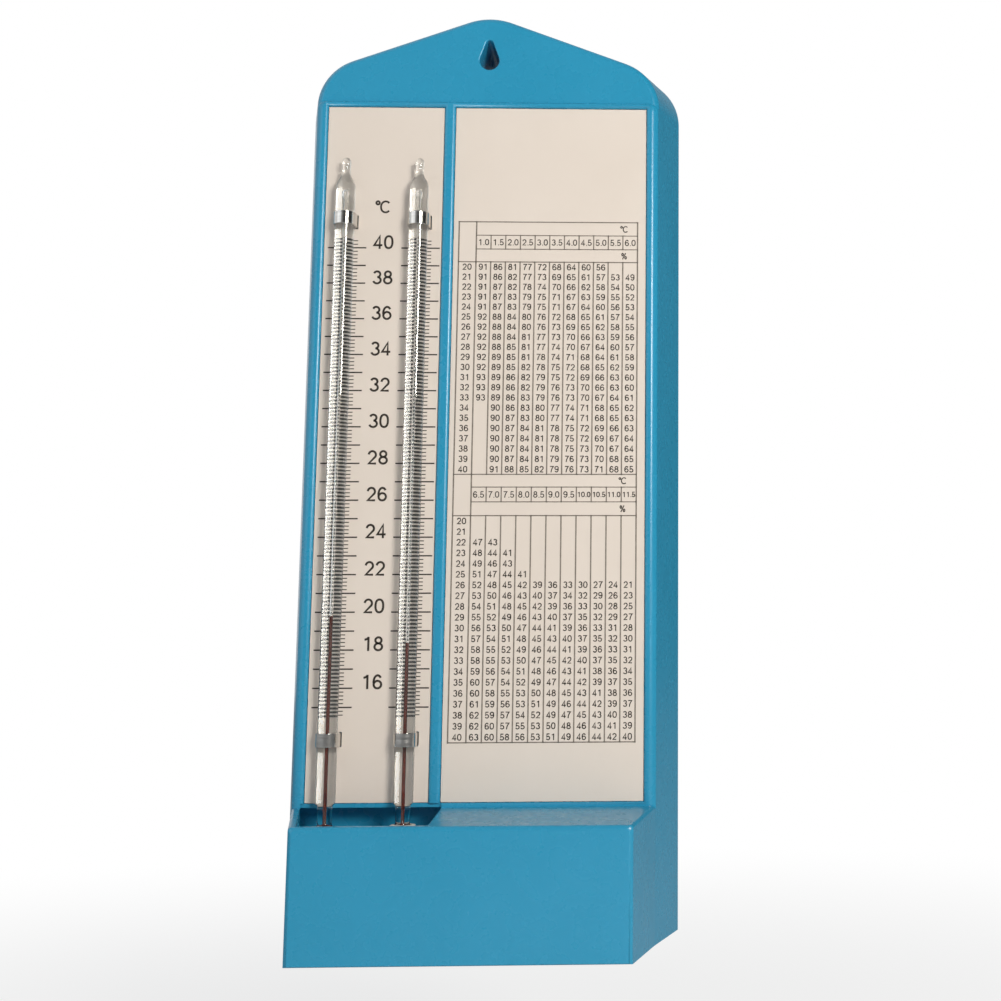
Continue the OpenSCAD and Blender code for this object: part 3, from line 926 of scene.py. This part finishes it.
def make_scale_print(tree, keys, ink):
    shapes = []
    for x in (DRY_X, WET_X):
        for count, first, step, shift, length, weight in SCALE_MARKS:
            shapes.append(bars(tree, keys, ink, count, (x + shift, INK_MID, mark_height(first)),
                               (0, 0, step), (length, INK_THICK, weight)))
    points, faces = [], []
    size, weight = 4.3, 0.66
    for degrees in range(16, 41, 2):
        number = str(degrees)
        left = -28.5 + 0.5 * (40 - degrees) / 24 - line_width(number, size)
        write(points, faces, number, left, mark_height(degrees) - 0.3, size, weight, True)
    write(points, faces, "oC", -34.3, 220.3, 4.0, 0.6, True)
    shapes.append(face_outward(solid("numbers", points, faces)))
    settle(join("scale_print", shapes), "case", "printed_plate", ink)


def humidity(dry, difference):
    """Relative humidity in percent from the two readings, at sea level in slowly moving air."""
    def vapour(t):
        return 6.112 * math.exp(17.62 * t / (243.12 + t))
    left = vapour(dry - difference) - 0.0008 * 1013 * difference
    return 100 * left / vapour(dry)


def shown(block_index, dry, column):
    """Whether a cell of the table holds a number."""
    if block_index == 0:
        return not (dry == 20 and column > 8) and not (dry > 33 and column == 0)
    filled = {20: 0, 21: 0, 22: 2, 23: 3, 24: 3, 25: 4}
    return column < filled.get(dry, 11)


def make_table_print(tree, keys, ink, pale_ink):
    left, first, pitch, columns = -8.3, 5.4, 4.545, 11
    right = left + first + columns * pitch
    inner = left + first
    size, weight = 1.95, 0.31
    rules, points, faces = [], [], []

    def across(z, x0, line):
        rules.append(bars(tree, keys, pale_ink, 1, ((x0 + right) / 2, INK_MID, z), (0, 0, 1),
                          (right - x0 + 0.3, INK_THICK, line)))

    def down(x, count, low, high, line):
        rules.append(bars(tree, keys, pale_ink, count, (x, INK_MID, (low + high) / 2),
                          (pitch, 0, 0), (line, INK_THICK, high - low + line)))

    def put(sign, x, z, height=size, line=weight):
        write_centred(points, faces, sign, x, z, height, line)

    blocks = (((217.7, 213.4, 209.0, 204.9), 138.5, 1.0), ((138.5, 134.6, 130.1, 125.9), 58.4, 6.5))
    for index, (heads, foot, difference) in enumerate(blocks):
        row = (heads[3] - foot) / 21
        across(heads[0], left, 0.34)
        across(heads[1], inner, 0.3)
        across(heads[2], inner, 0.3)
        across(heads[3], left, 0.34)
        for x in (left, right, inner):
            down(x, 1, foot, heads[0], 0.42)
        down(inner + pitch, columns - 1, heads[2], heads[1], 0.36)
        down(inner + pitch, columns - 1, foot, heads[3], 0.4)
        put("oC", right - 4.2, (heads[0] + heads[1]) / 2, 2.1)
        put("%", right - 4.2, (heads[2] + heads[3]) / 2, 2.1)
        for column in range(columns):
            label = f"{difference + column * 0.5:.1f}"
            put(label, inner + (column + 0.5) * pitch, (heads[1] + heads[2]) / 2,
                size if len(label) < 4 else 1.6, 0.29)
        for dry in range(20, 41):
            z = heads[3] - (dry - 20 + 0.5) * row
            put(str(dry), left + first / 2, z)
            for column in range(columns):
                if shown(index, dry, column):
                    value = humidity(dry, difference + column * 0.5)
                    put(f"{value:.0f}", inner + (column + 0.5) * pitch, z)
    across(blocks[1][1], left, 0.36)
    numbers = face_outward(solid("table_numbers", points, faces))
    settle(numbers, "case", "printed_plate", ink)
    settle(join("table_rules", rules), "case", "printed_plate", pale_ink)


# Finishes

def finish(name, **values):
    """A material and its main shader, whose fixed numbers are set on the shader itself."""
    material = bpy.data.materials.new(name)
    material.use_nodes = True
    return material, fixed(material.node_tree.nodes["Principled BSDF"], **values)


def maths(tree, operation, first, second=None):
    """The result of a Math node whose inputs are sockets or fixed numbers."""
    step = tree.nodes.new("ShaderNodeMath")
    step.operation = operation
    for socket, value in zip(step.inputs, (first, second)):
        if isinstance(value, (int, float)):
            socket.default_value = value
        elif value is not None:
            tree.links.new(value, socket)
    return step.outputs[0]


def pattern(shader, scale, stretch=(1, 1, 1), kind="ShaderNodeTexNoise", **values):
    """A texture on Object coordinates, stretched along the piece."""
    tree = shader.id_data
    where = tree.nodes.new("ShaderNodeTexCoord")
    turn = fixed(tree.nodes.new("ShaderNodeMapping"), Scale=stretch)
    texture = fixed(tree.nodes.new(kind), Scale=scale, **values)
    tree.links.new(where.outputs["Object"], turn.inputs["Vector"])
    tree.links.new(turn.outputs["Vector"], texture.inputs["Vector"])
    return texture.outputs["Fac"]


def spread(shader, label, source, low, high, start=0.3, stop=0.7):
    """Let a pattern move one of the shader's inputs between two numbers or two colours."""
    tree = shader.id_data
    if hasattr(low, "__len__"):
        ramp = tree.nodes.new("ShaderNodeValToRGB")
        ends = ramp.color_ramp.elements
        ends[0].position, ends[1].position = start, stop
        ends[0].color, ends[1].color = (*low, 1), (*high, 1)
    else:
        ramp = fixed(tree.nodes.new("ShaderNodeMapRange"), From_Min=start, From_Max=stop,
                     To_Min=low, To_Max=high)
    tree.links.new(source, ramp.inputs[0])
    tree.links.new(ramp.outputs[0], shader.inputs[label])


def relief(shader, source, strength, distance, onto=None):
    """Surface relief from a pattern. Returns the bump node, so that a finer one can follow."""
    tree = shader.id_data
    bump = fixed(tree.nodes.new("ShaderNodeBump"), Strength=strength, Distance=distance)
    tree.links.new(source, bump.inputs["Height"])
    if onto is not None:
        tree.links.new(onto.outputs["Normal"], bump.inputs["Normal"])
    tree.links.new(bump.outputs["Normal"], shader.inputs["Normal"])
    return bump


def blue_plastic():
    material, shader = finish("blue_moulded_plastic", IOR=1.5, Specular_IOR_Level=0.45)
    broad = pattern(shader, 28, Detail=3.0)
    spread(shader, "Base Color", broad, (0.018, 0.268, 0.455), (0.023, 0.284, 0.480))
    spread(shader, "Roughness", pattern(shader, 160, Detail=4.0), 0.25, 0.30)
    sink = relief(shader, broad, 0.03, 0.0003)
    relief(shader, pattern(shader, 1800, Detail=2.0), 0.03, 0.00003, sink)
    return material


def cream_plate():
    material, shader = finish("cream_plate", IOR=1.5, Specular_IOR_Level=0.35)
    broad = pattern(shader, 40, Detail=4.0)
    spread(shader, "Base Color", broad, (0.690, 0.618, 0.552), (0.712, 0.640, 0.575))
    fine = pattern(shader, 1800, Detail=3.0)
    spread(shader, "Roughness", fine, 0.38, 0.52)
    relief(shader, fine, 0.08, 0.00005)
    return material


def printing_ink(name, dark, light):
    material, shader = finish(name, IOR=1.45, Specular_IOR_Level=0.3)
    patchy = pattern(shader, 900, Detail=3.0)
    spread(shader, "Base Color", patchy, dark, light)
    spread(shader, "Roughness", patchy, 0.45, 0.6)
    return material


def drawn_glass(name, tint, along):
    material, shader = finish(name, IOR=1.48, Transmission_Weight=1.0)
    streaks = pattern(shader, 900, along, Detail=2.0)
    spread(shader, "Base Color", streaks, tint, (0.985, 0.99, 0.985))
    spread(shader, "Roughness", streaks, 0.0, 0.01)
    relief(shader, streaks, 0.01, 0.000005)
    return material


def dyed_liquid():
    material, shader = finish("dyed_liquid", IOR=1.4, Roughness=0.06)
    drift = pattern(shader, 300, (1, 1, 0.2), Detail=2.0)
    spread(shader, "Base Color", drift, (0.10, 0.018, 0.011), (0.16, 0.026, 0.015))
    return material


def bright_metal():
    material, shader = finish("bright_strap_metal", Metallic=1.0)
    brushed = pattern(shader, 900, (0.15, 0.15, 3.0), Detail=3.0)
    spread(shader, "Base Color", brushed, (0.52, 0.51, 0.49), (0.62, 0.61, 0.59))
    spread(shader, "Roughness", brushed, 0.10, 0.20)
    relief(shader, brushed, 0.15, 0.00004)
    return material


def woven_cotton():
    """A plain weave on the cloth's own map."""
    material, shader = finish("woven_cotton", Roughness=0.9, Sheen_Weight=0.3, Sheen_Roughness=0.5)
    tree = material.node_tree
    uv = tree.nodes.new("ShaderNodeUVMap")
    uv.uv_map = "weave"
    split = tree.nodes.new("ShaderNodeSeparateXYZ")
    tree.links.new(uv.outputs["UV"], split.inputs["Vector"])

    def wave(axis, threads):
        turn = maths(tree, "MULTIPLY", split.outputs[axis], threads * 2 * math.pi)
        return maths(tree, "SINE", turn)

    cross = maths(tree, "MULTIPLY", wave("X", 26), wave("Y", 40))
    relief(shader, cross, 0.5, 0.00012)
    spread(shader, "Base Color", cross, (0.66, 0.62, 0.54), (0.84, 0.81, 0.74), 0.2, 0.9)
    return material


def twisted_thread():
    material, shader = finish("twisted_thread", Roughness=0.85, Sheen_Weight=0.25)
    strands = pattern(shader, 1500, (1, 1, 1.6), "ShaderNodeTexWave", Distortion=1.2)
    spread(shader, "Base Color", strands, (0.60, 0.56, 0.47), (0.82, 0.79, 0.70), 0.1, 0.9)
    relief(shader, strands, 0.5, 0.0001)
    return material


def clear_water():
    material, shader = finish("clear_water", IOR=1.33, Transmission_Weight=1.0)
    ripple = pattern(shader, 200, Detail=1.0)
    spread(shader, "Base Color", ripple, (0.90, 0.96, 0.97), (0.97, 0.99, 0.99))
    spread(shader, "Roughness", ripple, 0.0, 0.02)
    return material


def repaint(node, material):
    """Give a part that keeps its own mesh a new finish."""
    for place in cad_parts[node].material_slots:
        place.material = material


# Studio

def blend(tree, share, first, second):
    """Mix two shaders by the share that a socket gives."""
    mix = tree.nodes.new("ShaderNodeMixShader")
    tree.links.new(share, mix.inputs["Fac"])
    tree.links.new(first, mix.inputs[1])
    tree.links.new(second, mix.inputs[2])
    return mix.outputs["Shader"]


def make_floor():
    """A pale floor that the camera sees as nearly white, and fully white far from the object."""
    size, level = 4.0, -0.06
    corners = [(x * size, y * size, level) for x, y in ((-1, -1), (1, -1), (1, 1), (-1, 1))]
    floor = solid("floor", corners, [(0, 1, 2, 3)])
    material, shader = finish("pale_floor", Base_Color=(0.86, 0.86, 0.86, 1), Roughness=0.9)
    tree = material.node_tree
    glow = fixed(tree.nodes.new("ShaderNodeEmission"), Color=(1, 1, 1, 1), Strength=1.0)
    where = tree.nodes.new("ShaderNodeTexCoord")
    far = tree.nodes.new("ShaderNodeVectorMath")
    far.operation = "LENGTH"
    tree.links.new(where.outputs["Object"], far.inputs[0])
    fade = tree.nodes.new("ShaderNodeMapRange")
    fade.interpolation_type = "SMOOTHSTEP"
    fixed(fade, From_Min=0.12, From_Max=0.7, To_Min=0.75, To_Max=1.0)
    tree.links.new(far.outputs["Value"], fade.inputs["Value"])
    rays = tree.nodes.new("ShaderNodeLightPath")
    share = maths(tree, "MULTIPLY", rays.outputs["Is Camera Ray"], fade.outputs["Result"])
    mixed = blend(tree, share, shader.outputs["BSDF"], glow.outputs["Emission"])
    tree.links.new(mixed, tree.nodes["Material Output"].inputs["Surface"])
    floor.data.materials.append(material)


def make_world():
    """Soft light all round, a room for reflections that is brighter on the left, and white behind."""
    world = bpy.data.worlds.new("studio")
    scene.world = world
    world.use_nodes = True
    tree = world.node_tree
    soft = fixed(tree.nodes["Background"], Color=(0.93, 0.97, 1.0, 1), Strength=0.22)
    white = fixed(tree.nodes.new("ShaderNodeBackground"), Color=(1, 1, 1, 1), Strength=1.0)
    room = fixed(tree.nodes.new("ShaderNodeBackground"), Strength=1.0)
    way = tree.nodes.new("ShaderNodeTexCoord")
    lean = tree.nodes.new("ShaderNodeVectorMath")
    lean.operation = "DOT_PRODUCT"
    lean.inputs[1].default_value = (-2.2, 0.6, 0.5)
    tree.links.new(way.outputs["Generated"], lean.inputs[0])
    reach = fixed(tree.nodes.new("ShaderNodeMapRange"), From_Min=-0.5, From_Max=1.9)
    tree.links.new(lean.outputs["Value"], reach.inputs["Value"])
    shade = tree.nodes.new("ShaderNodeValToRGB")
    ends = shade.color_ramp.elements
    ends[0].position, ends[1].position = 0.0, 1.0
    ends[0].color, ends[1].color = (0.03, 0.03, 0.03, 1), (1, 1, 1, 1)
    tree.links.new(reach.outputs["Result"], shade.inputs["Fac"])
    tree.links.new(shade.outputs["Color"], room.inputs["Color"])
    rays = tree.nodes.new("ShaderNodeLightPath")
    first = maths(tree, "LESS_THAN", rays.outputs["Diffuse Depth"], 1)
    through = maths(tree, "MULTIPLY", first, rays.outputs["Is Transmission Ray"])
    straight = maths(tree, "MAXIMUM", rays.outputs["Is Camera Ray"], through)
    mirrored = blend(tree, rays.outputs["Is Glossy Ray"], soft.outputs["Background"],
                     room.outputs["Background"])
    seen = blend(tree, straight, mirrored, white.outputs["Background"])
    tree.links.new(seen, tree.nodes["World Output"].inputs["Surface"])


def lamp(name, place, size, power, colour):
    light = bpy.data.lights.new(name, "AREA")
    light.shape = "RECTANGLE"
    light.size, light.size_y = size
    light.energy = power
    light.color = colour
    obj = bpy.data.objects.new(name, light)
    target = Vector((0, 0, 0.14))
    obj.rotation_euler = (target - Vector(place)).to_track_quat("-Z", "Y").to_euler()
    obj.location = place
    scene.collection.objects.link(obj)


scene.view_settings.view_transform = "Standard"
place_camera()
make_world()
make_floor()
lamp("key_lamp", (0.50, -0.80, 0.40), (0.26, 0.26), 7.6, (1.0, 0.96, 0.90))
lamp("fill_lamp", (-0.9, -0.8, 0.5), (0.9, 0.9), 1.8, (0.92, 0.96, 1.0))

BLUE = blue_plastic()
PLATE = cream_plate()
INK = printing_ink("black_ink", (0.026, 0.020, 0.016), (0.052, 0.042, 0.034))
PALE_INK = printing_ink("table_ink", (0.17, 0.145, 0.12), (0.24, 0.21, 0.18))
TUBE_GLASS = drawn_glass("drawn_tube_glass", (0.96, 0.975, 0.965), (1, 1, 0.04))
FEEDER_GLASS = drawn_glass("blown_feeder_glass", (0.93, 0.965, 0.955), (0.05, 1, 1))
LIQUID = dyed_liquid()
METAL = bright_metal()
COTTON = woven_cotton()
THREAD = twisted_thread()
WATER = clear_water()

make_case(BLUE)
for plate in ("scale_plate", "table_plate"):
    repaint(plate, PLATE)
for name, axis, reading in (("dry", DRY_X, 19.8), ("wet", WET_X, 18.4)):
    make_thermometer(name, axis, reading, TUBE_GLASS, LIQUID)
    for height in CLIP_HEIGHTS:
        make_clip(name, height, axis, METAL)
make_feeder(FEEDER_GLASS)
repaint("feeder_water", WATER)
make_ties(THREAD)
make_wick(COTTON)
BARS, BAR_KEYS = bars_tree()
make_scale_print(BARS, BAR_KEYS, INK)
make_table_print(BARS, BAR_KEYS, INK, PALE_INK)
